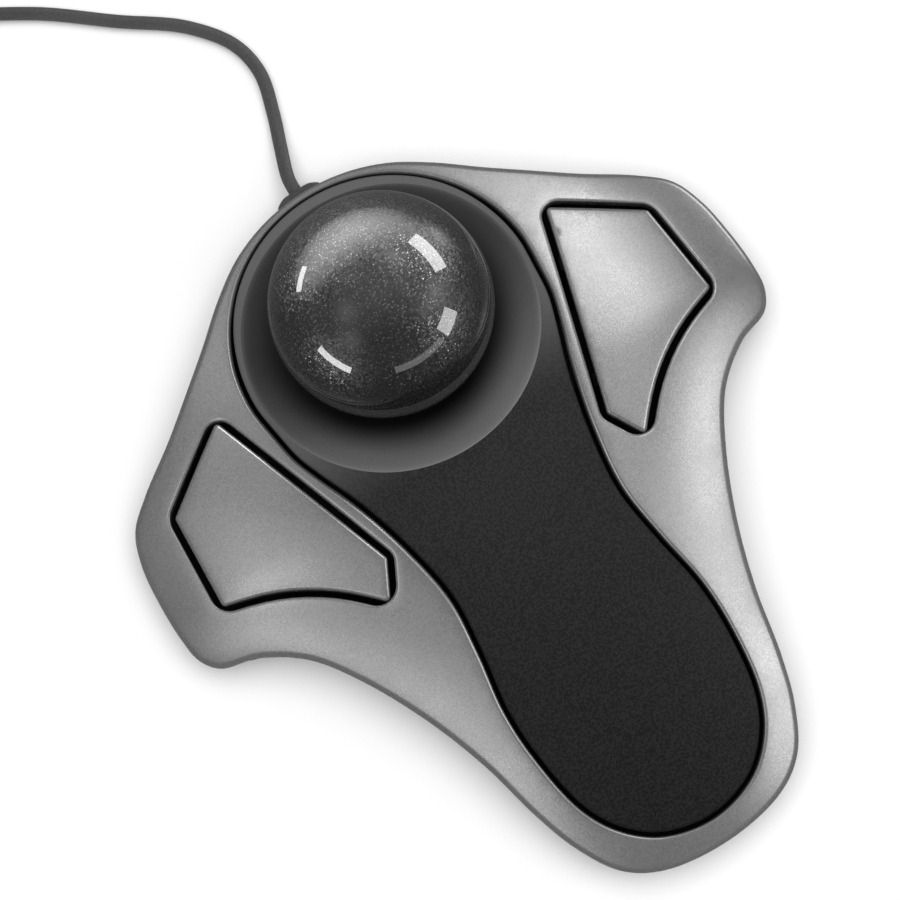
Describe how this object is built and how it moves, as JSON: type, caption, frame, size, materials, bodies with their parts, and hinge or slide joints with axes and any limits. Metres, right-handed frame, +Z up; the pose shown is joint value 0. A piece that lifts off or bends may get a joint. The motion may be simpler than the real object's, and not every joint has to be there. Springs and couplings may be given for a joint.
{
  "type": "trackball mouse",
  "caption": "Finger trackball with a ball in an open dish, a wing button on each side, a long palm rest and a short cable to a USB plug.",
  "frame": {"origin": "centre of the underside of the centre rubber foot, on the desk plane, under the middle of the body", "axes": "+Z up from the desk, +Y towards the cable end, +X to the right"},
  "size_m": [0.1548, 0.2138, 0.05],
  "materials": {
    "silver": "satin metallic paint",
    "charcoal": "soft-touch",
    "ball_grey": "clear coat over silver flake",
    "black_plastic": "fine texture",
    "rubber": "matt",
    "cable_grey": "matt",
    "steel": "satin",
    "board_green": "solder mask",
    "switch_red": "satin",
    "white_plastic": "satin",
    "clear_plastic": "clear",
    "gold": "plated",
    "ribbon": "film",
    "paper": "matt foil"
  },
  "bodies": {
    "chassis": {"top_shell": "silver", "palm_rest": "charcoal", "base_plate": "black_plastic", "ball_cup": "black_plastic", "bearing_front": "steel", "bearing_left": "steel", "bearing_right": "steel", "left_hinge_pin": "steel", "left_switch_base": "black_plastic", "left_switch_cover": "switch_red", "right_hinge_pin": "steel", "right_switch_base": "black_plastic", "right_switch_cover": "switch_red", "main_board": "board_green", "controller_chip": "black_plastic", "clock_crystal": "steel", "supply_capacitor": "black_plastic", "cable_connector": "white_plastic", "sensor_lens": "clear_plastic", "optical_sensor": "black_plastic", "sensor_board": "board_green", "sensor_lamp": "switch_red", "sensor_ribbon": "ribbon", "cable_grommet": "cable_grey", "cable": "cable_grey", "usb_grip": "black_plastic", "usb_shell": "steel", "usb_tongue": "white_plastic", "usb_contact_1": "gold", "usb_contact_2": "gold", "usb_contact_3": "gold", "usb_contact_4": "gold", "foot_centre": "rubber", "foot_rear": "rubber", "foot_front": "rubber", "foot_left": "rubber", "foot_right": "rubber", "rating_label": "paper", "case_screw_1": "steel", "case_screw_2": "steel", "case_screw_3": "steel", "case_screw_4": "steel", "board_screw_1": "steel", "board_screw_2": "steel"},
    "trackball": {"ball": "ball_grey"},
    "left_key": {"left_button": "silver"},
    "right_key": {"right_button": "silver"},
    "left_plunger": {"left_switch_plunger": "white_plastic"},
    "right_plunger": {"right_switch_plunger": "white_plastic"}
  },
  "joints": [
    {"name": "ball_roll", "type": "hinge", "parent": "chassis", "child": "trackball", "pos_m": [0, 0.0415, 0.03], "axis": [1, 0, 0], "continuous": true},
    {"name": "left_press", "type": "hinge", "parent": "chassis", "child": "left_key", "pos_m": [-0.03103, 0.02093, 0.013], "axis": [0.3192, -0.9477, 0], "range_deg": [0, 3]},
    {"name": "right_press", "type": "hinge", "parent": "chassis", "child": "right_key", "pos_m": [0.03103, 0.02093, 0.013], "axis": [0.3192, 0.9477, 0], "range_deg": [0, 3]},
    {"name": "left_plunger_slide", "type": "slide", "parent": "chassis", "child": "left_plunger", "axis": [0, 0, -1], "range_m": [0, 0.0006]},
    {"name": "right_plunger_slide", "type": "slide", "parent": "chassis", "child": "right_plunger", "axis": [0, 0, -1], "range_m": [0, 0.0006]}
  ],
  "couplings": [
    {"joint": "left_plunger_slide", "follows": "left_press", "m_per_rad": 0.0083},
    {"joint": "right_plunger_slide", "follows": "right_press", "m_per_rad": 0.0083}
  ]
}
